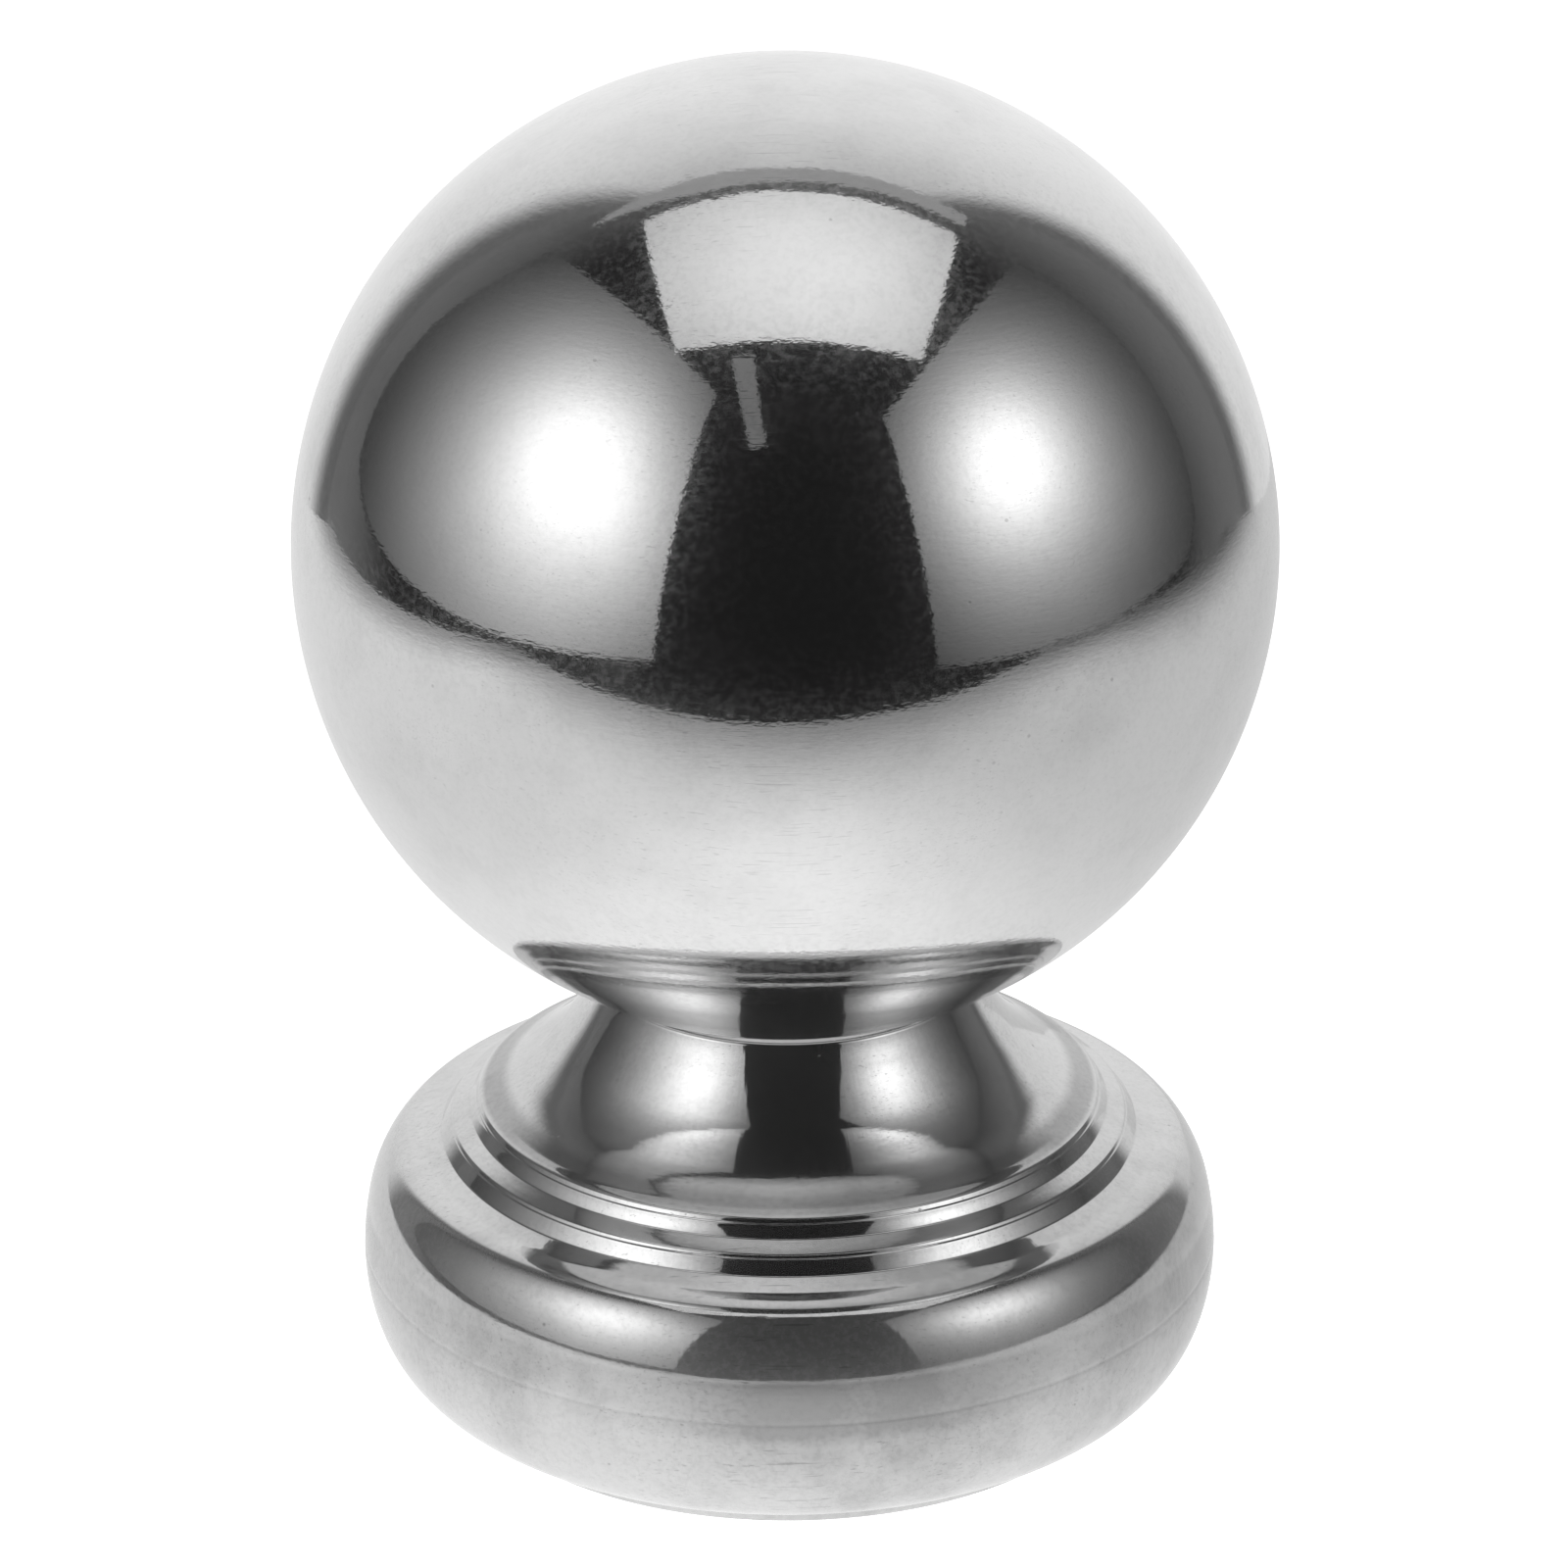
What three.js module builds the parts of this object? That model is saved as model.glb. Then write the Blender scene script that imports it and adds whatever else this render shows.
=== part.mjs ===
// Handrail ball finial: a hollow polished ball seated on a spun sheet-metal base.
// Units are millimetres, +Z is up, and the origin is the centre of the base's underside.
import * as THREE from 'three';

// Driving dimensions of the ball
const ballDiameter = 100;
const seatGap = 0.3;

// Driving dimensions of the base, heights measured up from its underside
const wall = 1;
const seatDiameter = 39.6;
const seatHeight = 45.76;
const discDiameter = 65.9;
const discHeight = 32.1;
const discCrown = 0.75;
const discMargin = 1.6;

// The two stepped beads around the disc, and the shelf between them
const upperBeadHeight = 1.5;
const upperBeadSpread = 0.83;
const shelfWidth = 1.62;
const shelfFall = 0.85;
const lowerBeadHeight = 1.75;
const lowerBeadSpread = 1.4;
const beadCornerRadius = 0.3;

// The big round moulding, which curls in under itself to a short upright rim
const valleyWidth = 1.35;
const valleyFall = 0.55;
const torusDiameter = 90.6;
const torusWidestHeight = 14.95;
const rimDiameter = 72.8;
const rimHeight = 2;
const curlWidth = 1;

// How finely the shapes are faceted: sides round the axis, rings of the ball, and the most
// degrees that the profile turns in one facet outside and inside
const ballSides = 48;
const ballRings = 24;
const baseSides = 60;
const outsideTurn = 12;
const insideTurn = 15;

const degree = Math.PI / 180;
const ballRadius = ballDiameter / 2;
const seatRadius = seatDiameter / 2;
const discRadius = discDiameter / 2;
const torusRadius = torusDiameter / 2;
const rimRadius = rimDiameter / 2;

// A point of a profile: radius from the axis, height, and how far the surface's normal leans up
function station(radius, height, lean = 0) {
  return { radius, height, lean };
}

// Direction in which the profile runs down through a station, at right angles to its normal
function downhill(point, length) {
  return new THREE.Vector2(
    Math.sin(point.lean * degree) * length,
    -Math.cos(point.lean * degree) * length,
  );
}

// Smooth curve through stations, in steps that each turn by at most the given degrees
function sweep(stations, turn) {
  const points = [new THREE.Vector2(stations[0].radius, stations[0].height)];
  for (let index = 1; index < stations.length; index += 1) {
    const start = stations[index - 1];
    const end = stations[index];
    const chord = Math.hypot(end.radius - start.radius, end.height - start.height);
    const steps = Math.ceil(Math.abs(end.lean - start.lean) / turn);
    const leave = downhill(start, chord / 3);
    const arrive = downhill(end, chord / 3);
    const curve = new THREE.CubicBezierCurve(
      new THREE.Vector2(start.radius, start.height),
      new THREE.Vector2(start.radius + leave.x, start.height + leave.y),
      new THREE.Vector2(end.radius - arrive.x, end.height - arrive.y),
      new THREE.Vector2(end.radius, end.height),
    );
    points.push(...curve.getPoints(steps).slice(1));
  }
  return points;
}

// The same stations on the inside of the wall
function insideOf(stations) {
  return stations.map(({ radius, height, lean }) => station(
    radius - wall * Math.cos(lean * degree),
    height - wall * Math.sin(lean * degree),
    lean,
  ));
}

// A corner between two straight stretches, rounded off in three points
function roundCorner(before, corner, after, radius) {
  const toBefore = before.clone().sub(corner);
  const toAfter = after.clone().sub(corner);
  const reach = Math.min(radius, toBefore.length() / 2, toAfter.length() / 2);
  const first = corner.clone().add(toBefore.setLength(reach));
  const last = corner.clone().add(toAfter.setLength(reach));
  const middle = first.clone().add(last).multiplyScalar(0.25).addScaledVector(corner, 0.5);
  return [first, middle, last];
}

// The inside of a stepped polyline: each corner moved in by the wall's thickness
function mitredInside(points) {
  return points.slice(1, -1).map((corner, index) => {
    const incoming = corner.clone().sub(points[index]).normalize();
    const outgoing = points[index + 2].clone().sub(corner).normalize();
    const normal = new THREE.Vector2(-incoming.y, incoming.x);
    const nextNormal = new THREE.Vector2(-outgoing.y, outgoing.x);
    const share = wall / (1 + normal.dot(nextNormal));
    return corner.clone().sub(normal.add(nextNormal).multiplyScalar(share));
  });
}

// Neck: a hollow curve from the ball's seat out to the disc, steepest at the top.
// Its middle stations are shares of the neck's own spread and drop.
const neckFootRadius = discRadius - discMargin;
const neckFootHeight = discHeight + discCrown;
const neckSpread = neckFootRadius - seatRadius;
const neckDrop = seatHeight - neckFootHeight;
const neckStations = [
  station(seatRadius, seatHeight, 20),
  station(seatRadius + 0.102 * neckSpread, seatHeight - 0.208 * neckDrop, 27.5),
  station(seatRadius + 0.34 * neckSpread, seatHeight - 0.532 * neckDrop, 38),
  station(seatRadius + 0.672 * neckSpread, seatHeight - 0.816 * neckDrop, 52),
  station(neckFootRadius, neckFootHeight, 61),
];

// Mouldings: the disc's edge, the upper bead, the shelf, the lower bead and the valley
const upperBeadFoot = new THREE.Vector2(discRadius + upperBeadSpread, discHeight - upperBeadHeight);
const shelfEdge = new THREE.Vector2(upperBeadFoot.x + shelfWidth, upperBeadFoot.y - shelfFall);
const lowerBeadFoot = new THREE.Vector2(
  shelfEdge.x + lowerBeadSpread,
  shelfEdge.y - lowerBeadHeight,
);
const discEdge = new THREE.Vector2(discRadius, discHeight);
const valley = new THREE.Vector2(lowerBeadFoot.x + valleyWidth, lowerBeadFoot.y - valleyFall);
const neckFoot = new THREE.Vector2(neckFootRadius, neckFootHeight);

// Torus: from the valley over the shoulder to the widest circle and in under to the rim.
// Its stations in between are shares of the spread and drop above and below the widest circle.
const torusSpread = torusRadius - valley.x;
const torusDrop = valley.y - torusWidestHeight;
const curlRadius = rimRadius + curlWidth;
const underSpread = torusRadius - curlRadius;
const underDrop = torusWidestHeight - rimHeight;
const torusStations = [
  station(valley.x, valley.y, 68),
  station(valley.x + 0.51 * torusSpread, valley.y - 0.116 * torusDrop, 46),
  station(valley.x + 0.916 * torusSpread, valley.y - 0.567 * torusDrop, 11),
  station(torusRadius, torusWidestHeight, 0),
  station(torusRadius - 0.456 * underSpread, torusWidestHeight - 0.838 * underDrop, -45),
  station(curlRadius, rimHeight, -90),
];

// The neck's rim is bevelled to the ball, which rests above the circle where the two meet
const clearRadius = ballRadius + seatGap;
const ballCentreHeight = seatHeight + Math.sqrt(clearRadius ** 2 - seatRadius ** 2);
const boreRadius = seatRadius - wall;
const bevelFoot = station(boreRadius, ballCentreHeight - Math.sqrt(clearRadius ** 2 - boreRadius ** 2));

// Whole outline of the base: inside from the seat down to the rim, outside back up to the seat
function baseProfile() {
  const steps = [neckFoot, discEdge, upperBeadFoot, shelfEdge, lowerBeadFoot, valley];
  const outside = [
    ...sweep(neckStations, outsideTurn),
    ...roundCorner(neckFoot, discEdge, upperBeadFoot, beadCornerRadius),
    upperBeadFoot,
    ...roundCorner(upperBeadFoot, shelfEdge, lowerBeadFoot, beadCornerRadius),
    lowerBeadFoot,
    ...sweep(torusStations, outsideTurn),
    new THREE.Vector2(rimRadius, rimHeight),
    new THREE.Vector2(rimRadius, 0),
  ];
  const inside = [
    ...sweep([bevelFoot, ...insideOf(neckStations).slice(1)], insideTurn),
    ...mitredInside(steps),
    ...sweep(insideOf(torusStations), insideTurn),
    new THREE.Vector2(rimRadius - wall, rimHeight + wall),
    new THREE.Vector2(rimRadius - wall, 0),
  ];
  const outline = [...inside, ...outside.reverse()];
  outline.push(outline[0].clone());
  return outline;
}

function turned(profile, sides) {
  const geometry = new THREE.LatheGeometry(profile, sides);
  geometry.rotateX(Math.PI / 2);
  return geometry;
}

function polishedSteel(color) {
  return new THREE.MeshStandardMaterial({ color, roughness: 0.08, metalness: 1 });
}

const ballGeometry = new THREE.SphereGeometry(ballRadius, ballSides, ballRings);
ballGeometry.rotateX(Math.PI / 2);
const ball = new THREE.Mesh(ballGeometry, polishedSteel(0xd4d5d6));
ball.name = 'ball';
ball.position.set(0, 0, ballCentreHeight);

const base = new THREE.Mesh(turned(baseProfile(), baseSides), polishedSteel(0xcfd0d1));
base.name = 'base';

const finial = new THREE.Group();
finial.add(base, ball);

export default finial;
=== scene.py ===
import math

import bpy
import numpy as np
from bpy.props import FloatProperty, FloatVectorProperty, IntProperty, PointerProperty
from bpy.types import Operator, Panel, PropertyGroup
from mathutils import Matrix, Vector


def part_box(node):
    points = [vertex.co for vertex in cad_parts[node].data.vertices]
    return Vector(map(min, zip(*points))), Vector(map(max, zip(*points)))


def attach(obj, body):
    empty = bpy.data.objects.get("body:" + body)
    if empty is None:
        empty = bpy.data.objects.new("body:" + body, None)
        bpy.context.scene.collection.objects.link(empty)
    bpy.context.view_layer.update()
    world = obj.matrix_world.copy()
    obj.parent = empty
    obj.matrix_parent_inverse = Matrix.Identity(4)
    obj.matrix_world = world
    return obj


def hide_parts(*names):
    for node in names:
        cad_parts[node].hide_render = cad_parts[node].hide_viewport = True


bl_info = {
    "name": "Handrail Ball Finial",
    "version": (1, 0, 0),
    "blender": (4, 5, 0),
    "location": "3D View > Sidebar > Finial",
    "description": "A mirror-polished steel ball on a spun steel base, with its studio",
    "category": "Object",
}

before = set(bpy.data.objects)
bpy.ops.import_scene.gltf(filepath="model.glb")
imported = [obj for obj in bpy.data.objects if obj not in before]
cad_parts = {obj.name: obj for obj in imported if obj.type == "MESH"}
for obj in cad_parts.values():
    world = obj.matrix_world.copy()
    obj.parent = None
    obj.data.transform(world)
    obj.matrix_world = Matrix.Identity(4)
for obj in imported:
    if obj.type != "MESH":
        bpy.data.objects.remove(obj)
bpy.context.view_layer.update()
BALL_LOW, BALL_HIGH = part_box("ball")
BASE_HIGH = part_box("base")[1]
BALL_CENTRE = Vector((0, 0, (BALL_LOW.z + BALL_HIGH.z) / 2))
MM = 0.001


# Sizes and colours

def length(name, description, millimetres):
    """A size that is shown in the scene's length unit."""
    return FloatProperty(
        name=name, description=description, default=millimetres * MM, min=0, precision=5,
        subtype="DISTANCE", unit="LENGTH",
    )


def share(name, description, default):
    """A plain number."""
    return FloatProperty(name=name, description=description, default=default, min=0, precision=3)


def colour(name, description, default):
    """A colour for the sidebar."""
    return FloatVectorProperty(
        name=name, description=description, default=default, size=3, min=0, max=1, subtype="COLOR",
    )


class BallSettings(PropertyGroup):
    """The sealed ball and its finish."""

    radius: length("Radius", "Radius of the ball", BALL_HIGH.z / MM - BALL_CENTRE.z / MM)
    sides: IntProperty(name="Sides", description="Faces round the ball", default=320, min=16)
    steel: colour("Steel", "Colour of the polished ball", (0.74, 0.74, 0.74))
    dull_steel: colour("Dull steel", "Colour where the polish is greyer", (0.56, 0.56, 0.56))
    roughness: share("Roughness", "Roughness of the polish", 0.04)
    haze: share("Haze", "How much of the light a rough veil over the polish scatters", 0.24)
    low_haze: share("Lower haze", "More haze low down", 0)
    haze_roughness: share("Haze roughness", "Roughness of that veil", 0.27)
    haze_stretch: share("Haze stretch", "How far the veil scatters up and down only", 0.25)
    mottle: share("Mottle", "How uneven the veil is", 0.8)
    peel: share("Peel", "Height of the fine orange peel in micrometres", 4.5)
    chatter: share("Chatter", "Height of the upright marks in micrometres", 0.8)


class BaseSettings(PropertyGroup):
    """The spun sheet-metal base. Heights are measured up from its underside."""

    wall: length("Wall", "Thickness of the sheet", 1)
    seat_radius: length("Seat radius", "Radius of the neck's rim under the ball", 19.8)
    seat_height: length("Seat height", "Height of the neck's rim", BASE_HIGH.z / MM)
    seat_gap: length("Seat gap", "Gap between the ball and the neck's rim", 0.3)
    disc_radius: length("Disc radius", "Radius of the disc under the neck", 32.95)
    disc_height: length("Disc height", "Height of the disc's edge", 32.1)
    torus_radius: length("Moulding radius", "Radius of the big round moulding", BASE_HIGH.x / MM)
    torus_height: length("Moulding height", "Height of the moulding's widest circle", 14.95)
    rim_radius: length("Rim radius", "Radius of the short upright rim", 36.4)
    rim_height: length("Rim height", "Height of the rim up to the curl", 2)
    seam_height: length("Seam height", "Height of the faint seam round the moulding", 15.9)
    seam_depth: length("Seam depth", "Depth of the seam", 0.045)
    ring_radius: length("Scribed ring radius", "Radius of the ring scribed beside the beads", 38.8)
    ring_depth: length("Scribed ring depth", "Depth of that ring", 0.05)
    sides: IntProperty(name="Sides", description="Faces round the base", default=240, min=16)
    steel: colour("Steel", "Colour of the polished base", (0.68, 0.68, 0.68))
    # On the base this colour also carries painted shade: the shade in the crook above the disc and
    # the dark reflection at the moulding's front.
    dull_steel: colour("Dull steel", "Colour where the polish is greyer", (0.36, 0.36, 0.36))
    roughness: share("Roughness", "Roughness of the polish", 0.05)
    haze: share("Haze", "How much of the light a rough veil over the polish scatters", 0.12)
    low_haze: share("Lower haze", "More haze on the big round moulding", 0.24)
    haze_roughness: share("Haze roughness", "Roughness of that veil", 0.5)
    haze_stretch: share("Haze stretch", "How far the veil scatters up and down only", 0.85)
    mottle: share("Mottle", "How uneven the veil is", 0.25)
    # Painted shade: these three sizes place a patch of darkened colour at the moulding's front,
    # towards the camera, that stands in for the reflection of the dark room in front.
    painted_patch_top: length("Painted patch top", "Top of the painted dark patch at the moulding's front", 20.6)
    painted_patch_bottom: length("Painted patch bottom", "Height where that patch fades", 13.6)
    painted_patch_width: length("Painted patch width", "Width of that patch", 25)
    peel: share("Peel", "Height of the fine orange peel in micrometres", 2)
    chatter: share("Chatter", "Height of the upright marks in micrometres", 2.2)


class StudioSettings(PropertyGroup):
    """The table, the paper behind it, the soft lights and the camera."""

    camera_distance: length("Camera distance", "From the camera to the ball's centre", 530)
    camera_height: FloatProperty(
        name="Camera height angle", description="How far the camera stands above the ball's level",
        default=math.radians(19.214), subtype="ANGLE", unit="ROTATION",
    )
    camera_pitch: FloatProperty(
        name="Camera pitch", description="How far the camera looks down",
        default=math.radians(21.812), subtype="ANGLE", unit="ROTATION",
    )
    camera_turn: FloatProperty(
        name="Camera turn", description="How far the camera turns to the right",
        default=math.radians(-0.031), subtype="ANGLE", unit="ROTATION",
    )
    camera_roll: FloatProperty(
        name="Camera roll", description="How far the camera leans to its right",
        default=math.radians(-0.367), subtype="ANGLE", unit="ROTATION",
    )
    lens: FloatProperty(name="Lens", description="Focal length in millimetres", default=119.72)
    paper: colour("Paper", "Colour of the table and the paper behind it", (1, 1, 1))
    room: colour("Room", "Colour of the dark room in front", (0.012, 0.012, 0.012))
    side_room: colour("Side room", "Colour of the grey cloth at the sides", (0.16, 0.16, 0.16))


# Shaders

class Wire:
    """An output socket of a shader node that takes part in Python expressions."""

    def __init__(self, shader, socket):
        self.shader = shader
        self.socket = socket

    def maths(self, operation, first, second=None):
        """A Math node on one or two values."""
        values = {0: first} if second is None else {0: first, 1: second}
        return self.shader.add("ShaderNodeMath", {"operation": operation}, values)

    def __add__(self, other):
        return self.maths("ADD", self, other)

    def __radd__(self, other):
        return self.maths("ADD", other, self)

    def __sub__(self, other):
        return self.maths("SUBTRACT", self, other)

    def __rsub__(self, other):
        return self.maths("SUBTRACT", other, self)

    def __mul__(self, other):
        return self.maths("MULTIPLY", self, other)

    def __rmul__(self, other):
        return self.maths("MULTIPLY", other, self)

    def __truediv__(self, other):
        return self.maths("DIVIDE", self, other)

    def __rtruediv__(self, other):
        return self.maths("DIVIDE", other, self)

    def __pow__(self, other):
        return self.maths("POWER", self, other)


class Shader:
    """The node tree of a material or the world."""

    def __init__(self, owner):
        owner.use_nodes = True
        self.tree = owner.node_tree
        self.tree.nodes.clear()

    def add(self, kind, settings=None, values=None, output=0):
        """Adds a node, sets it up, fills its sockets and gives one of its outputs."""
        node = self.tree.nodes.new(kind)
        for name, setting in (settings or {}).items():
            setattr(node, name, setting)
        for name, value in (values or {}).items():
            if isinstance(value, Wire):
                self.tree.links.new(value.socket, node.inputs[name])
            else:
                node.inputs[name].default_value = value
        return Wire(self, node.outputs[output]) if node.outputs else None

    def part(self, vector, axis):
        """One number of a vector: 0 for x, 1 for y and 2 for z."""
        return self.add("ShaderNodeSeparateXYZ", None, {"Vector": vector}, output=axis)

    def step(self, value, start, end):
        """0 below start, 1 above end, and smooth between them."""
        return self.add(
            "ShaderNodeMapRange", {"interpolation_type": "SMOOTHSTEP"},
            {"Value": value, "From Min": start, "From Max": end},
        )

    def blend(self, amount, first, second):
        """A colour between two colours."""
        return self.add(
            "ShaderNodeMix", {"data_type": "RGBA"}, {0: amount, 6: first, 7: second}, output=2,
        )

    def noise(self, place, scale, detail=2.0, roughness=0.5):
        """Noise whose scale is in cells per metre."""
        return self.add(
            "ShaderNodeTexNoise", None,
            {"Vector": place, "Scale": scale, "Detail": detail, "Roughness": roughness},
        )

    def placed(self, place, turn=(0, 0, 0), scale=(1, 1, 1), move=(0, 0, 0)):
        """The same coordinates turned, stretched or moved."""
        return self.add(
            "ShaderNodeMapping", None,
            {"Vector": place, "Rotation": turn, "Scale": scale, "Location": move},
        )


# Scales of the finish's noises, in cells per metre: one number, or one for each direction
CLOUD_SCALE = 24
SMUDGE_SCALE = 130
SPECKLE_SCALE = 1500
SCRATCH_PATCH_SCALE = 45
PIT_SCALE = 170.0
RIPPLE_SCALE = 95
PEEL_SCALE = (1500, 1500, 3000)
WHEEL_LINE_SCALE = (260, 260, 2400)
UPRIGHT_MARK_SCALE = (70, 240)
WORN_BAND_SCALE = (2.6, 9)

# Directions of the fine scratches: a turn, cells per metre along and across, and how rare
SCRATCH_RUNS = (
    ((0.4, 0.3, 0.9), 90, 5200, 0.68),
    ((1.1, -0.5, 0.2), 120, 4600, 0.69),
    ((-0.3, 0.9, 2.1), 150, 6000, 0.68),
)

# Heights of the relief in micrometres
MICROMETRE = 1e-6
RIPPLE_HEIGHT = 20
WHEEL_LINE_HEIGHT = 3.5
PIT_DEPTH = 4


def opaque(rgb):
    """The colour with an alpha of 1."""
    return (*rgb, 1)


def scratches(shader, place, turn, along, across, rarity):
    """Fine straight scratches in one direction: a mask that is 1 in a scratch."""
    stretched = shader.placed(place, turn, (along, across, across))
    lines = shader.noise(stretched, 1, 1)
    patches = shader.noise(shader.placed(place, move=turn), SCRATCH_PATCH_SCALE, 1)
    return shader.step(lines, rarity, rarity + 0.03) * shader.step(patches, 0.5, 0.6)


def round_the_axis(shader, place, around, upward):
    """Coordinates that run round the finial's axis, for marks that stand upright."""
    flat = shader.add("ShaderNodeVectorMath", {"operation": "MULTIPLY"}, {
        0: place, 1: (1, 1, 0),
    })
    outward = shader.add("ShaderNodeVectorMath", {"operation": "NORMALIZE"}, {0: flat})
    turned = shader.placed(outward, scale=(around, around, 0))
    raised = shader.placed(place, scale=(0, 0, upward))
    return shader.add("ShaderNodeVectorMath", {"operation": "ADD"}, {0: turned, 1: raised})


def bump_in(shader, value, middle, spread):
    """1 at the middle, falling smoothly to both sides."""
    return shader.add("ShaderNodeMath", {"operation": "EXPONENT"}, {
        0: ((value - middle) / spread) ** 2.0 * -1,
    })


def painted_front_shade(shader, place, height_up, top, bottom, half_width):
    """Painted shade on the moulding between the heights top and bottom: a painted dark reflection
    of the dark room, strongest at the front towards the camera, over a faint painted band all
    round, made uneven by rings.
    """
    aside = shader.part(place, 0)
    depth = shader.part(place, 1)
    below_top = shader.step(height_up, top, top - 0.8 * MM)
    near_bottom = 1 - shader.step(height_up, bottom + 1.5 * MM, bottom - 0.5 * MM) * 0.5
    above_bottom = 1 - shader.step(height_up, bottom, bottom - 8 * MM) * 0.9
    in_front = shader.step(depth, 10 * MM, -10 * MM)
    patch = bump_in(shader, aside, 0, half_width) * in_front
    ring = round_the_axis(shader, place, *WORN_BAND_SCALE)
    bands = shader.step(shader.noise(ring, 1, 3), 0.42, 0.6)
    return below_top * near_bottom * above_bottom * (0.15 + patch * 0.85 + bands * 0.2)


def mirror_steel(name, finish, hazy_below=0.0, shaded_crook=None, painted_front_patch=None):
    """Mirror-polished stainless steel under a thin haze, with marks whose heights are micrometres.
    The crook is a band of heights, in metres, where the polishing wheel doesn't reach well, so more
    haze roughens the polish, and where painted shade darkens the colour. The painted front patch is
    a painted dark reflection at the moulding's front, with a top, a bottom and half a width."""
    material = bpy.data.materials.new(name)
    shader = Shader(material)
    place = shader.add("ShaderNodeTexCoord", output=3)
    height_up = shader.part(place, 2)

    clouds = shader.step(shader.noise(place, CLOUD_SCALE, 5, 0.62), 0.46, 0.72)
    smudges = shader.step(shader.noise(place, SMUDGE_SCALE, 4, 0.6), 0.45, 0.75)
    speckle = shader.step(shader.noise(place, SPECKLE_SCALE, 3, 0.65), 0.42, 0.66)
    unmarked = 1
    for run in SCRATCH_RUNS:
        unmarked = unmarked * (1 - scratches(shader, place, *run))
    marks = 1 - unmarked
    pits = 1 - shader.step(
        shader.add("ShaderNodeTexVoronoi", None, {"Vector": place, "Scale": PIT_SCALE}),
        0.022, 0.04,
    )

    ripple = shader.noise(place, RIPPLE_SCALE, 2)
    peel = shader.noise(shader.placed(place, scale=PEEL_SCALE), 1, 2, 0.55)
    wheel_lines = shader.noise(shader.placed(place, scale=WHEEL_LINE_SCALE), 1, 2)
    upright = shader.noise(round_the_axis(shader, place, *UPRIGHT_MARK_SCALE), 1, 2)
    height = (
        ripple * RIPPLE_HEIGHT + peel * finish.peel + wheel_lines * WHEEL_LINE_HEIGHT
        + upright * finish.chatter - pits * PIT_DEPTH
    )
    normal = shader.add(
        "ShaderNodeBump", None, {"Height": height, "Strength": 1.0, "Distance": MICROMETRE},
    )

    low_down = shader.step(height_up, hazy_below, hazy_below - 2 * MM)
    unevenness = clouds * 0.6 + smudges * 0.5 + speckle - 0.9
    haze = (finish.haze + low_down * finish.low_haze) * (1 + unevenness * finish.mottle)
    rough = finish.roughness + clouds * 0.015 + smudges * 0.015 + marks * 0.12 + pits * 0.2
    dullness_and_painted_shade = clouds * 0.4 + smudges * 0.2 + speckle * 0.1 + pits * 0.6 + marks * 0.5
    # Painted dark reflection of the room in front, darkening the moulding's front.
    if painted_front_patch:
        dullness_and_painted_shade = dullness_and_painted_shade + painted_front_shade(shader, place, height_up, *painted_front_patch)
    if shaded_crook:
        low, high = shaded_crook
        in_shaded_crook = shader.step(height_up, low, low + 0.3 * MM) * (
            1 - shader.step(height_up, high - 0.9 * MM, high)
        )
        haze = haze + in_shaded_crook * 0.1
        # Painted shade: the colour darkens in the concave corner above the disc.
        dullness_and_painted_shade = dullness_and_painted_shade + in_shaded_crook * 0.7

    tint = shader.blend(dullness_and_painted_shade, opaque(finish.steel), opaque(finish.dull_steel))
    metal = {"Base Color": tint, "Metallic": 1.0, "Normal": normal}
    polish = shader.add("ShaderNodeBsdfPrincipled", None, {**metal, "Roughness": rough})
    veil = shader.add("ShaderNodeBsdfPrincipled", None, {
        **metal, "Roughness": finish.haze_roughness,
        "Anisotropic": finish.haze_stretch, "Anisotropic Rotation": 0.25,
    })
    surface = shader.add("ShaderNodeMixShader", None, {0: haze, 1: polish, 2: veil})
    shader.add("ShaderNodeOutputMaterial", None, {"Surface": surface})
    return material


# Meshes

def mesh_object(name, vertices, faces, material):
    """A smooth mesh object in the scene."""
    mesh = bpy.data.meshes.new(name)
    mesh.from_pydata([tuple(v) for v in vertices], [], faces)
    mesh.materials.append(material)
    mesh.polygons.foreach_set("use_smooth", [True] * len(mesh.polygons))
    mesh.update()
    made = bpy.data.objects.new(name, mesh)
    bpy.context.scene.collection.objects.link(made)
    return made


def turned_faces(rows, sides, closed):
    """Quads between rows of a turned mesh whose vertices go round row by row."""
    faces = []
    for row in range(rows if closed else rows - 1):
        here, there = row * sides, (row + 1) % rows * sides
        for side in range(sides):
            after = (side + 1) % sides
            faces.append((here + side, there + side, there + after, here + after))
    return faces


def curve_between(start, end, spacing):
    """Points after start up to end on a smooth curve. A station is radius, height and lean."""
    first, last = np.array(start[:2]), np.array(end[:2])
    chord = np.linalg.norm(last - first)
    leave, arrive = (
        chord * np.array((math.sin(math.radians(lean)), -math.cos(math.radians(lean))))
        for lean in (start[2], end[2])
    )
    steps = max(2, math.ceil(chord / spacing))
    t = (np.arange(1, steps + 1) / steps)[:, None]
    return (
        (2 * t**3 - 3 * t**2 + 1) * first + (t**3 - 2 * t**2 + t) * leave
        + (3 * t**2 - 2 * t**3) * last + (t**3 - t**2) * arrive
    )


def profile_through(stations, spacing):
    """A smooth polyline through stations, top to bottom."""
    parts = [np.array([stations[0][:2]])]
    parts += [curve_between(a, b, spacing) for a, b in zip(stations, stations[1:])]
    return np.vstack(parts)


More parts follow.
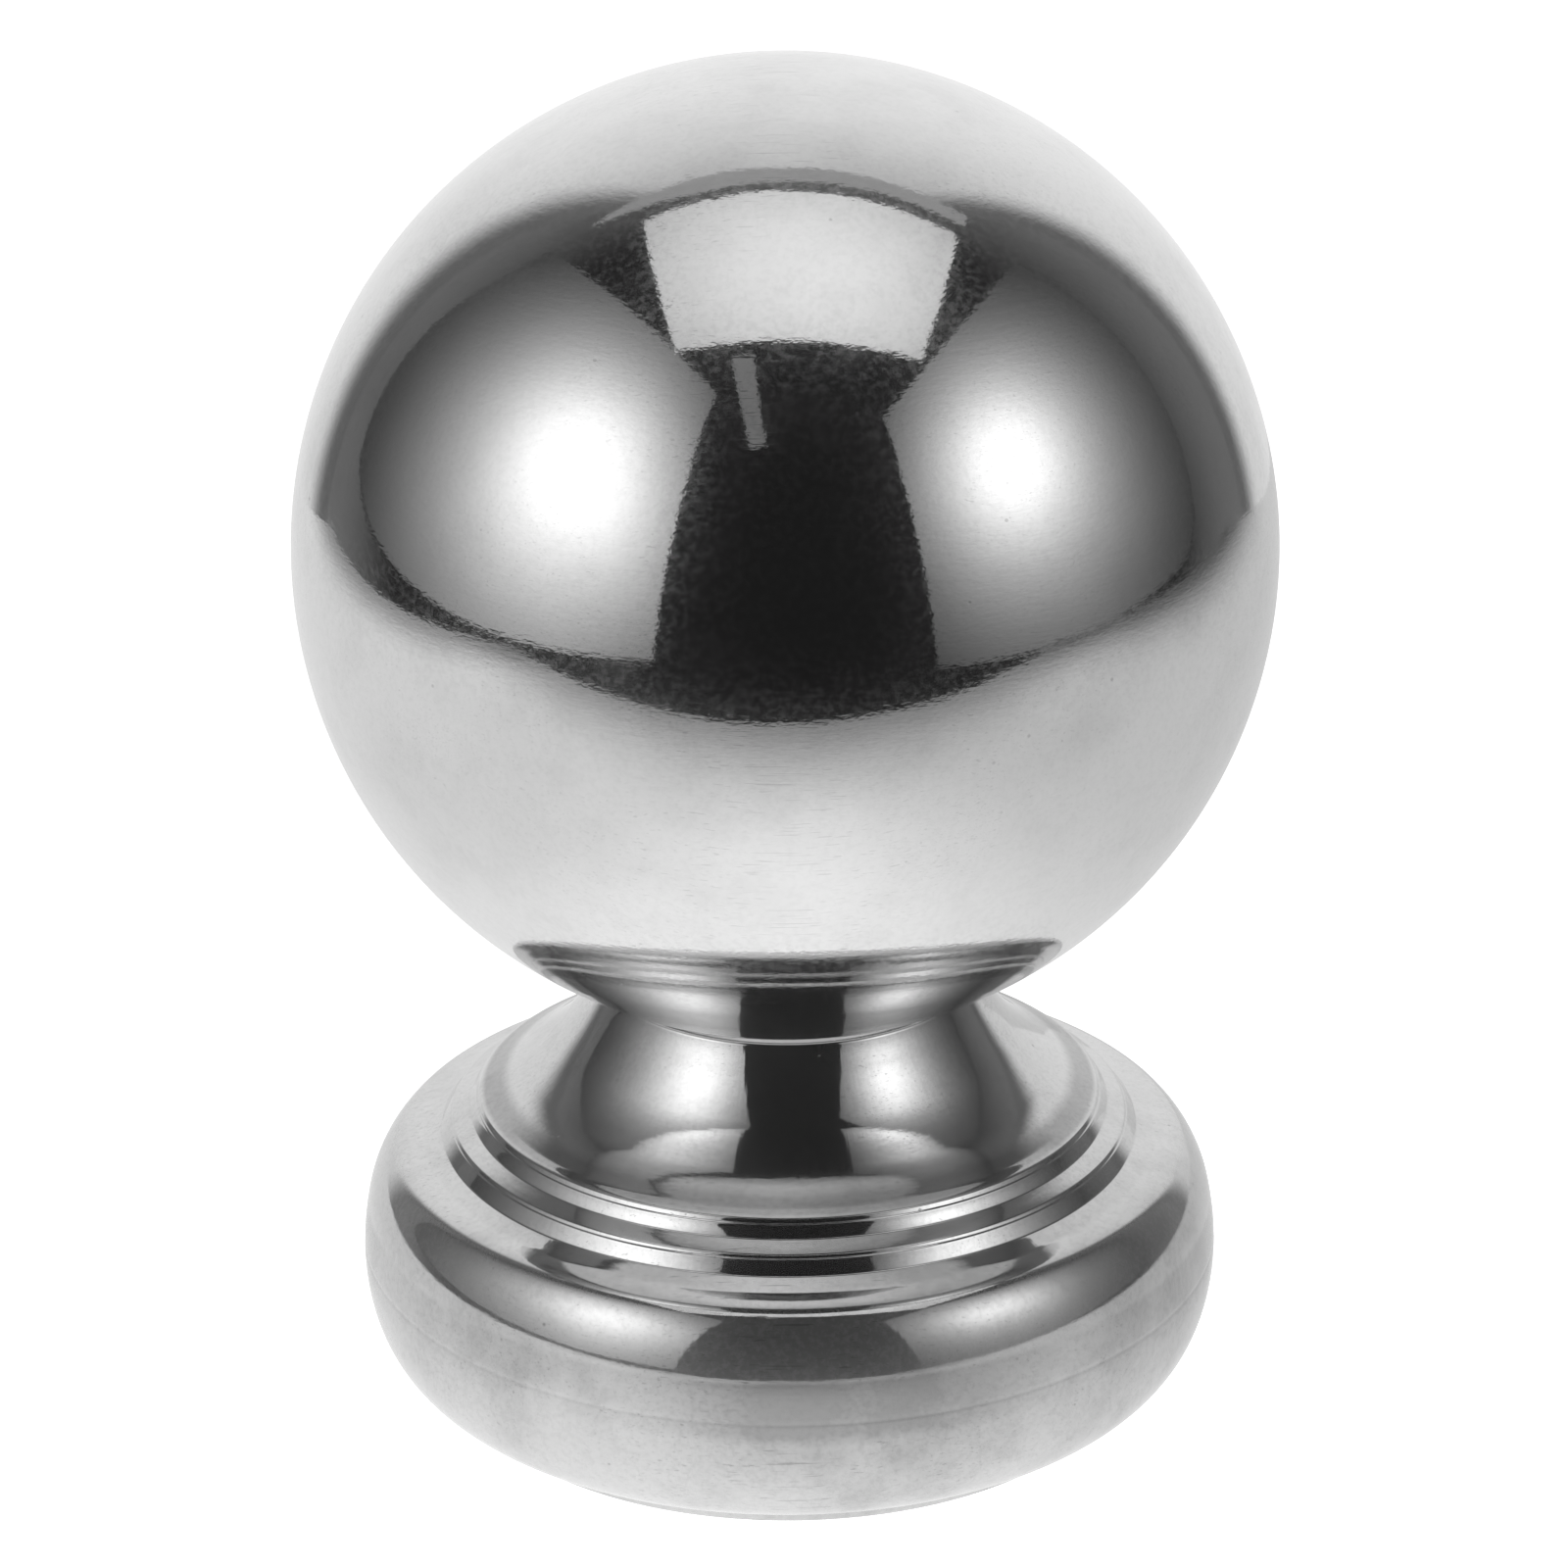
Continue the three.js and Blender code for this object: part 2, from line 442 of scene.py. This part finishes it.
def outward_normals(points):
    """Unit normals of a closed profile that runs down its outside."""
    before, after = np.roll(points, 1, 0), np.roll(points, -1, 0)
    into, out = points - before, after - points
    into_length = np.linalg.norm(into, axis=1)[:, None]
    out_length = np.linalg.norm(out, axis=1)[:, None]
    along = into / into_length * out_length + out / out_length * into_length
    normals = np.stack([-along[:, 1], along[:, 0]], 1)
    return normals / np.linalg.norm(normals, axis=1)[:, None]


# Stations of the neck: shares of its spread and of its drop, and the lean in degrees
NECK_SHARES = ((0.102, 0.208, 27.5), (0.34, 0.532, 38), (0.672, 0.816, 52))

# Stations of the disc's edge and the beads: millimetres out from the disc's radius, millimetres
# down from its height, and the lean
BEAD_STEPS = (
    (-1.6, -0.75, 60), (-0.5, -0.26, 61), (-0.32, -0.12, 30), (-0.16, 0.15, 28),
    (-0.02, 0.26, 62), (0.08, 0.38, 26), (0.7, 1.37, 36), (0.83, 1.5, 62),
    (2.45, 2.35, 62), (2.6, 2.48, 31), (2.69, 2.63, 31), (2.82, 2.73, 62),
    (2.94, 2.87, 38), (3.75, 3.95, 36), (3.92, 4.12, 66), (5.2, 4.65, 68),
)

# Corners of the inside under the beads: which of those steps, and millimetres in and down from it
BEAD_INSIDE_CORNERS = ((2, 0.55, 0.95), (7, 0.55, 0.95), (8, 0.6, 0.9), (14, 0.55, 0.9))

# Stations of the moulding over its widest circle, as shares like the neck's, and the one below
SHOULDER_SHARES = ((0.51, 0.116, 46), (0.916, 0.567, 11))
UNDERSIDE_SHARE = (0.456, 0.838, -45)

# Millimetres: the curl under the moulding, and how the rim's and the seat's edges are rounded
CURL_WIDTH = 1
RIM_CORNER = 0.15
RIM_EDGE = 0.12
FOLD = 0.2
SEAT_CORNER = 0.25
SEAT_CORNER_DROP = 0.22
SEAT_LEAN = 20

# Millimetres between the rows of the mesh
NECK_SPACING = 0.28
BEAD_SPACING = 0.09
MOULDING_SPACING = 0.3
SEAM_SPACING = 0.12
INSIDE_NECK_SPACING = 1.0
INSIDE_MOULDING_SPACING = 1.2

# Millimetres: half widths of the scribed ring and the seam, and how far down the ring can lie
RING_HALF_WIDTH = 0.12
SEAM_HALF_WIDTH = 0.25
RING_REACH = 7.5

# Millimetres from the disc's height: down to where the haze grows, and up to the ends of the
# crook's painted shade
HAZE_DROP = 4.6
SHADED_CROOK_ENDS = (0.2, 2.1)


def base_stations(base):
    """Stations of the base in millimetres: the neck, the beads and the moulding with its rim."""
    wall, gap = base.wall / MM, base.seat_gap / MM
    seat, seat_top = base.seat_radius / MM, base.seat_height / MM
    disc, disc_top = base.disc_radius / MM, base.disc_height / MM
    torus, widest = base.torus_radius / MM, base.torus_height / MM
    rim, rim_top = base.rim_radius / MM, base.rim_height / MM
    clear_radius = BALL_HIGH.x / MM + gap

    def under_ball(radius):
        return BALL_CENTRE.z / MM - math.sqrt(clear_radius**2 - radius**2)

    beads = [(disc + out, disc_top - down, lean) for out, down, lean in BEAD_STEPS]
    foot, foot_top = beads[0][:2]
    neck_spread, neck_drop = foot - seat, seat_top - foot_top
    bevel_lean = 90 + math.degrees(math.asin(seat / clear_radius))
    neck = [
        (seat - wall, under_ball(seat - wall), bevel_lean),
        (seat - SEAT_CORNER, under_ball(seat - SEAT_CORNER), bevel_lean),
        (seat, seat_top - SEAT_CORNER_DROP, SEAT_LEAN),
        *(
            (seat + across * neck_spread, seat_top - down * neck_drop, lean)
            for across, down, lean in NECK_SHARES
        ),
        beads[0],
    ]
    valley, valley_top = beads[-1][:2]
    spread, drop = torus - valley, valley_top - widest
    under_spread, under_drop = torus - rim - CURL_WIDTH, widest - rim_top
    under_across, under_down, under_lean = UNDERSIDE_SHARE
    moulding = [
        beads[-1],
        *(
            (valley + across * spread, valley_top - down * drop, lean)
            for across, down, lean in SHOULDER_SHARES
        ),
        (torus, widest, 0),
        (torus - under_across * under_spread, widest - under_down * under_drop, under_lean),
        (rim + CURL_WIDTH, rim_top, -90),
        (rim + RIM_CORNER, rim_top, -90),
        (rim, rim_top - RIM_CORNER, 0),
        (rim, RIM_EDGE, 0),
        (rim - RIM_EDGE, 0, -90),
        (rim - wall + RIM_EDGE, 0, -90),
        (rim - wall, RIM_EDGE, -180),
        (rim - wall, rim_top + wall - FOLD, -180),
        (rim - wall + FOLD, rim_top + wall, -270),
        (rim + CURL_WIDTH - FOLD, rim_top + wall, -270),
    ]
    return neck, beads, moulding


def inside_points(base):
    """The inside of the sheet in millimetres, from the curl up to the bevel under the ball."""
    wall = base.wall / MM
    neck, beads, moulding = base_stations(base)

    def inner(stations):
        return [
            (r - wall * math.cos(math.radians(lean)), z - wall * math.sin(math.radians(lean)), lean)
            for r, z, lean in stations
        ]

    under_beads = np.array([
        (beads[step][0] - inward, beads[step][1] - below)
        for step, inward, below in BEAD_INSIDE_CORNERS
    ])
    downward = np.vstack([
        profile_through([(*neck[0][:2], 0), *inner(neck[3:])], INSIDE_NECK_SPACING)[1:],
        under_beads,
        profile_through(inner(moulding[:6]), INSIDE_MOULDING_SPACING)[:-1],
    ])
    return downward[::-1]


def base_profile(base):
    """The closed profile of the base in metres, with the scribed ring and the seam cut in."""
    neck, beads, moulding = base_stations(base)
    outside = np.vstack([
        profile_through(neck, NECK_SPACING)[:-1],
        profile_through(beads, BEAD_SPACING)[:-1],
        profile_through(moulding[:3], MOULDING_SPACING)[:-1],
        profile_through(moulding[2:4], SEAM_SPACING)[:-1],
        profile_through(moulding[3:], MOULDING_SPACING),
    ])
    normals = outward_normals(outside)
    radius, height = outside[:, 0], outside[:, 1]
    off_ring = (radius - base.ring_radius / MM) / RING_HALF_WIDTH
    off_seam = (height - base.seam_height / MM) / SEAM_HALF_WIDTH
    ring = np.exp(-off_ring**2) * (height > base.disc_height / MM - RING_REACH)
    seam = np.exp(-off_seam**2) * (radius > base.disc_radius / MM)
    cut = ring * base.ring_depth / MM + seam * base.seam_depth / MM
    outside = outside - normals * cut[:, None]
    return np.vstack([outside, inside_points(base)]) * MM


class FINIAL_OT_base(Operator):
    """Spun sheet-metal base: neck, disc, two beads, round moulding and rim, hollow below"""

    bl_idname = "finial.base"
    bl_label = "Base"

    def execute(self, context):
        base = context.scene.finial_base
        profile = base_profile(base)
        normals = outward_normals(profile)
        turns = np.arange(base.sides) * 2 * math.pi / base.sides
        around = np.stack([np.cos(turns), np.sin(turns)], 1)
        rows, sides = len(profile), base.sides
        vertices = np.zeros((rows, sides, 3))
        vertices[:, :, :2] = profile[:, None, :1] * around[None]
        vertices[:, :, 2] = profile[:, 1:]
        facing = np.zeros((rows, sides, 3))
        facing[:, :, :2] = normals[:, None, :1] * around[None]
        facing[:, :, 2] = normals[:, 1:]
        steel = mirror_steel(
            "base_mirror_steel", base, base.disc_height - HAZE_DROP * MM,
            [base.disc_height + end * MM for end in SHADED_CROOK_ENDS],
            (base.painted_patch_top, base.painted_patch_bottom, base.painted_patch_width / 2),
        )
        made = mesh_object(
            "spun_base", vertices.reshape(-1, 3), turned_faces(rows, sides, True), steel,
        )
        made.data.normals_split_custom_set_from_vertices(facing.reshape(-1, 3).tolist())
        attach(made, "root")
        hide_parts("base")
        return {"FINISHED"}


class FINIAL_OT_ball(Operator):
    """Sealed mirror-polished ball that rests on the neck's rim"""

    bl_idname = "finial.ball"
    bl_label = "Ball"

    def execute(self, context):
        ball = context.scene.finial_ball
        sides, rings = ball.sides, ball.sides // 2
        turns = np.arange(sides) * 2 * math.pi / sides
        tilts = np.arange(1, rings) * math.pi / rings
        middle = np.stack([
            np.outer(np.sin(tilts), np.cos(turns)),
            np.outer(np.sin(tilts), np.sin(turns)),
            np.outer(np.cos(tilts), np.ones(sides)),
        ], 2).reshape(-1, 3)
        points = np.vstack([middle, [(0, 0, 1)], [(0, 0, -1)]]) * ball.radius
        points[:, 2] += BALL_CENTRE.z
        top, bottom = len(middle), len(middle) + 1
        last = (rings - 2) * sides
        faces = turned_faces(rings - 1, sides, False)
        faces += [(top, side, (side + 1) % sides) for side in range(sides)]
        faces += [(last + side, bottom, last + (side + 1) % sides) for side in range(sides)]
        steel = mirror_steel("ball_mirror_steel", ball)
        made = mesh_object("polished_ball", points, faces, steel)
        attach(made, "root")
        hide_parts("ball")
        return {"FINISHED"}


# Studio. Places are millimetres from the ball's centre, and outlines lie in each panel's plane.

SOFT_LIGHTS = {
    "left_soft_light": {
        "centre": (-478, -138, 336), "facing": (0.899, 0.423, -0.116), "across": (-0.43, 0.902, 0),
        "outline": [
            (481, 422), (510, 216), (592, 50), (648, -106), (662, -227), (633, -290),
            (555, -328), (430, -364), (250, -388), (0, -406), (-478, -419), (-487, -100),
            (-473, 414),
        ],
        "hot_spot": (-188, -70), "reach": 275, "strength": 1.8,
    },
    "right_soft_light": {
        "centre": (494, -219, 270), "facing": (-0.912, 0.361, -0.196), "across": (0.379, 0.923, 0),
        "outline": [
            (437, 411), (455, 235), (478, 79), (488, -78), (486, -177), (483, -220), (460, -287),
            (428, -332), (368, -347), (-425, -403), (-416, -197), (-406, -38), (-387, 130),
            (-354, 336),
        ],
        "hot_spot": (-77, 12), "reach": 212, "strength": 1.75,
    },
    "top_soft_light": {
        "centre": (40, -69, 595), "facing": (0, 0, -1), "across": (1, 0, 0),
        "outline": [(-300, -216), (301, -216), (306, 216), (-300, 210)],
        "hot_spot": (15, 20), "reach": 600, "strength": 1.04,
    },
}
GREY_CARDS = {
    "top_card": {
        "centre": (0, 272, 750), "facing": (0, 0, -1), "across": (1, 0, 0),
        "outline": [(-480, -22), (-330, -38), (450, -38), (450, 22), (-216, 38), (-420, 0)],
        "grey": 0.33,
    },
    "front_strip": {
        "centre": (0, -110, 128), "facing": (0, 1, 0), "across": (1, 0, 0),
        "outline": [(-35.6, 45), (-20.5, 45.6), (-7.9, -43.5), (-15, -44)],
        "grey": 0.2,
    },
}
FRAME_SETBACK = 12
FRAME_SCALE = 1.025
FRAME_GREY = 0.006
PAPER_DISTANCE = 350
PAPER_OUTLINE = [(-470, -92), (490, -92), (490, 842), (-470, 842)]
PAPER_EDGE_GLOW = 0.13
TABLE_OUTLINE = [(-520, 350), (-520, -298), (-66, -290), (84, -298), (660, -305), (660, 350)]

# How far back, as a part of the direction, the dark room turns into the side room
SIDE_ROOM_START, SIDE_ROOM_END = 0.1, 0.6

# Metres, and the overhead lamp's watts
FLOOR_RADIUS = 4.0
FLOOR_SIDES = 96
LAMP_HEIGHT = 1.4
LAMP_SIZE = 1.2
LAMP_POWER = 6


def flat_panel(name, centre, facing, across, outline, material):
    """A flat stage panel that only reflections see. Its own x runs across and its y upward."""
    normal = Vector(facing).normalized()
    x = Vector(across)
    x = (x - normal * x.dot(normal)).normalized()
    y = normal.cross(x)
    if y.z < 0:
        y = -y
    vertices = [(u * MM, v * MM, 0) for u, v in outline]
    panel = mesh_object(name, vertices, [tuple(range(len(outline)))], material)
    turn = Matrix((x, y, x.cross(y))).transposed().to_4x4()
    panel.matrix_world = Matrix.Translation(BALL_CENTRE + Vector(centre) * MM) @ turn
    panel.visible_camera = False
    panel.visible_diffuse = False
    panel.visible_shadow = False
    return panel


def glowing(name, radiance_of=None, grey=1.0):
    """A material that only gives light, either an even grey or, where radiance_of is given, what
    that makes of the shader and its coordinates."""
    material = bpy.data.materials.new(name)
    shader = Shader(material)
    light = {"Color": opaque((grey, grey, grey))}
    if radiance_of:
        place = shader.add("ShaderNodeTexCoord", output=3)
        light = {"Color": radiance_of(shader, place)}
    shader.add("ShaderNodeOutputMaterial", None, {
        "Surface": shader.add("ShaderNodeEmission", None, light),
    })
    return material


def soft_light_glow(name, hot_spot, reach, strength):
    """Cloth lit by a lamp behind it: bright at the hot spot, and dimmer away from it."""
    def radiance(shader, place):
        far = shader.add("ShaderNodeVectorMath", {"operation": "DISTANCE"}, {
            0: place, 1: (hot_spot[0] * MM, hot_spot[1] * MM, 0),
        }, output=1)
        return strength / (1 + (far / (reach * MM)) ** 2.0) ** 1.5
    return glowing(name, radiance)


def paper_glow(shader, place):
    """Paper behind the table: brightest low in the middle, fading out at both sides."""
    across = shader.part(place, 0)
    height = shader.part(place, 1)
    lit = 0.62 + bump_in(shader, height, 0.18, 0.45) * 0.4
    middle = 0.8 + bump_in(shader, across, 0, 0.3) * 0.2
    left_edge = shader.step(across, -0.42, -0.29)
    right_edge = 1 - shader.step(across, 0.33, 0.45)
    return PAPER_EDGE_GLOW + (lit * middle - PAPER_EDGE_GLOW) * left_edge * right_edge


def table_glow(shader, place):
    """Table top: a bright middle, dimmer to the right and towards the front edge."""
    across = shader.part(place, 0)
    depth = shader.part(place, 1)
    glow = (
        0.68 + bump_in(shader, across, 0, 0.075) * bump_in(shader, depth, -0.05, 0.11) * 0.42
        + (1 - shader.step(across, -0.12, 0.08)) * 0.16
    )
    front = 0.42 + shader.step(depth, -0.3, -0.12) * 0.58
    left_edge = 0.4 + shader.step(across, -0.5, -0.3) * 0.6
    right_edge = 1 - shader.step(across, 0.25, 0.62) * 0.85
    return glow * front * left_edge * right_edge


def floor_paper(paper):
    """Pale paper that is bright enough to hide nearly all shadow."""
    material = bpy.data.materials.new("floor_paper")
    shader = Shader(material)
    place = shader.add("ShaderNodeTexCoord", output=3)
    grain = shader.noise(place, 300, 3) * 0.01
    matte = shader.add("ShaderNodeBsdfDiffuse", None, {"Color": opaque(paper)})
    light = shader.add("ShaderNodeEmission", None, {"Color": 0.97 + grain})
    both = shader.add("ShaderNodeAddShader", None, {0: matte, 1: light})
    shader.add("ShaderNodeOutputMaterial", None, {"Surface": both})
    return material


class FINIAL_OT_stage(Operator):
    """Floor, white table and paper, soft lights, dark room and the camera"""

    bl_idname = "finial.stage"
    bl_label = "Stage"

    def execute(self, context):
        studio = context.scene.finial_studio
        self.add_world(context.scene, studio)
        self.add_floor(studio)
        for name, light in SOFT_LIGHTS.items():
            glow = soft_light_glow(name, light["hot_spot"], light["reach"], light["strength"])
            flat_panel(
                name, light["centre"], light["facing"], light["across"], light["outline"], glow,
            )
            behind = Vector(light["centre"]) - Vector(light["facing"]) * FRAME_SETBACK
            wider = [(u * FRAME_SCALE, v * FRAME_SCALE) for u, v in light["outline"]]
            flat_panel(
                name + "_frame", behind, light["facing"], light["across"], wider,
                glowing(name + "_frame", grey=FRAME_GREY),
            )
        for name, card in GREY_CARDS.items():
            flat_panel(
                name, card["centre"], card["facing"], card["across"], card["outline"],
                glowing(name, grey=card["grey"]),
            )
        flat_panel(
            "white_paper", (0, PAPER_DISTANCE, 0), (0, -1, 0), (1, 0, 0), PAPER_OUTLINE,
            glowing("white_paper", paper_glow),
        )
        flat_panel(
            "table_top", (0, 0, -BALL_CENTRE.z / MM), (0, 0, 1), (1, 0, 0), TABLE_OUTLINE,
            glowing("table_top", table_glow),
        )
        self.add_overhead_light(context.scene)
        self.add_camera(context.scene, studio)
        context.scene.view_settings.view_transform = "Standard"
        return {"FINISHED"}

    @staticmethod
    def add_world(scene, studio):
        """White where the camera looks past the finial, and a dark room in the reflections."""
        world = bpy.data.worlds.new("studio")
        scene.world = world
        shader = Shader(world)
        place = shader.add("ShaderNodeTexCoord", output=0)
        depth = shader.part(place, 1)
        room = shader.blend(
            shader.step(depth, SIDE_ROOM_START, SIDE_ROOM_END),
            opaque(studio.room), opaque(studio.side_room),
        )
        seen = shader.add("ShaderNodeLightPath", output=0)
        background = shader.add(
            "ShaderNodeBackground", None, {"Color": shader.blend(seen, room, opaque(studio.paper))},
        )
        shader.add("ShaderNodeOutputWorld", None, {"Surface": background})

    @staticmethod
    def add_floor(studio):
        """A wide round floor that the reflections leave to the table top."""
        turns = [2 * math.pi * side / FLOOR_SIDES for side in range(FLOOR_SIDES)]
        rim = [(FLOOR_RADIUS * math.cos(turn), FLOOR_RADIUS * math.sin(turn), 0) for turn in turns]
        floor = mesh_object(
            "floor", rim, [tuple(range(FLOOR_SIDES))], floor_paper(studio.paper),
        )
        floor.visible_glossy = False

    @staticmethod
    def add_overhead_light(scene):
        """A wide soft light over the finial, for the floor alone."""
        lamp = bpy.data.lights.new("overhead", "AREA")
        lamp.energy = LAMP_POWER
        lamp.shape = "DISK"
        lamp.size = LAMP_SIZE
        placed = bpy.data.objects.new("overhead", lamp)
        placed.location = (0, 0, LAMP_HEIGHT)
        placed.visible_glossy = False
        scene.collection.objects.link(placed)

    @staticmethod
    def add_camera(scene, studio):
        """The camera at the photograph's distance, height and tilt."""
        camera = bpy.data.cameras.new("camera")
        camera.sensor_width = 36
        camera.lens = studio.lens
        camera.clip_start = 0.01
        placed = bpy.data.objects.new("camera", camera)
        scene.collection.objects.link(placed)
        rise, pitch = studio.camera_height, studio.camera_pitch
        turn, roll = studio.camera_turn, studio.camera_roll
        ahead = Vector((
            math.sin(turn) * math.cos(pitch), math.cos(turn) * math.cos(pitch), -math.sin(pitch),
        ))
        right = ahead.cross(Vector((0, 0, 1))).normalized()
        up = right.cross(ahead)
        rolled_right = right * math.cos(roll) + up * math.sin(roll)
        rolled_up = up * math.cos(roll) - right * math.sin(roll)
        axes = Matrix((rolled_right, rolled_up, -ahead)).transposed().to_4x4()
        back = Vector((0, -math.cos(rise), math.sin(rise))) * studio.camera_distance
        placed.matrix_world = Matrix.Translation(BALL_CENTRE + back) @ axes
        scene.camera = placed


class FINIAL_PT_sidebar(Panel):
    """The finial's operators and settings"""

    bl_label = "Ball Finial"
    bl_idname = "FINIAL_PT_sidebar"
    bl_space_type = "VIEW_3D"
    bl_region_type = "UI"
    bl_category = "Finial"

    def draw(self, context):
        layout = self.layout
        for operator, group in (
            (FINIAL_OT_base, context.scene.finial_base),
            (FINIAL_OT_ball, context.scene.finial_ball),
            (FINIAL_OT_stage, context.scene.finial_studio),
        ):
            box = layout.box()
            box.operator(operator.bl_idname)
            for name in group.bl_rna.properties.keys():
                if name not in {"rna_type", "name"}:
                    box.prop(group, name)


SETTINGS = {
    "finial_ball": BallSettings,
    "finial_base": BaseSettings,
    "finial_studio": StudioSettings,
}
CLASSES = (
    *SETTINGS.values(), FINIAL_OT_base, FINIAL_OT_ball, FINIAL_OT_stage, FINIAL_PT_sidebar,
)


def register():
    for cls in CLASSES:
        bpy.utils.register_class(cls)
    for name, group in SETTINGS.items():
        setattr(bpy.types.Scene, name, PointerProperty(type=group))


def unregister():
    for name in SETTINGS:
        delattr(bpy.types.Scene, name)
    for cls in reversed(CLASSES):
        bpy.utils.unregister_class(cls)


def main():
    register()
    bpy.ops.finial.base()
    bpy.ops.finial.ball()
    bpy.ops.finial.stage()


if __name__ == "__main__":
    main()
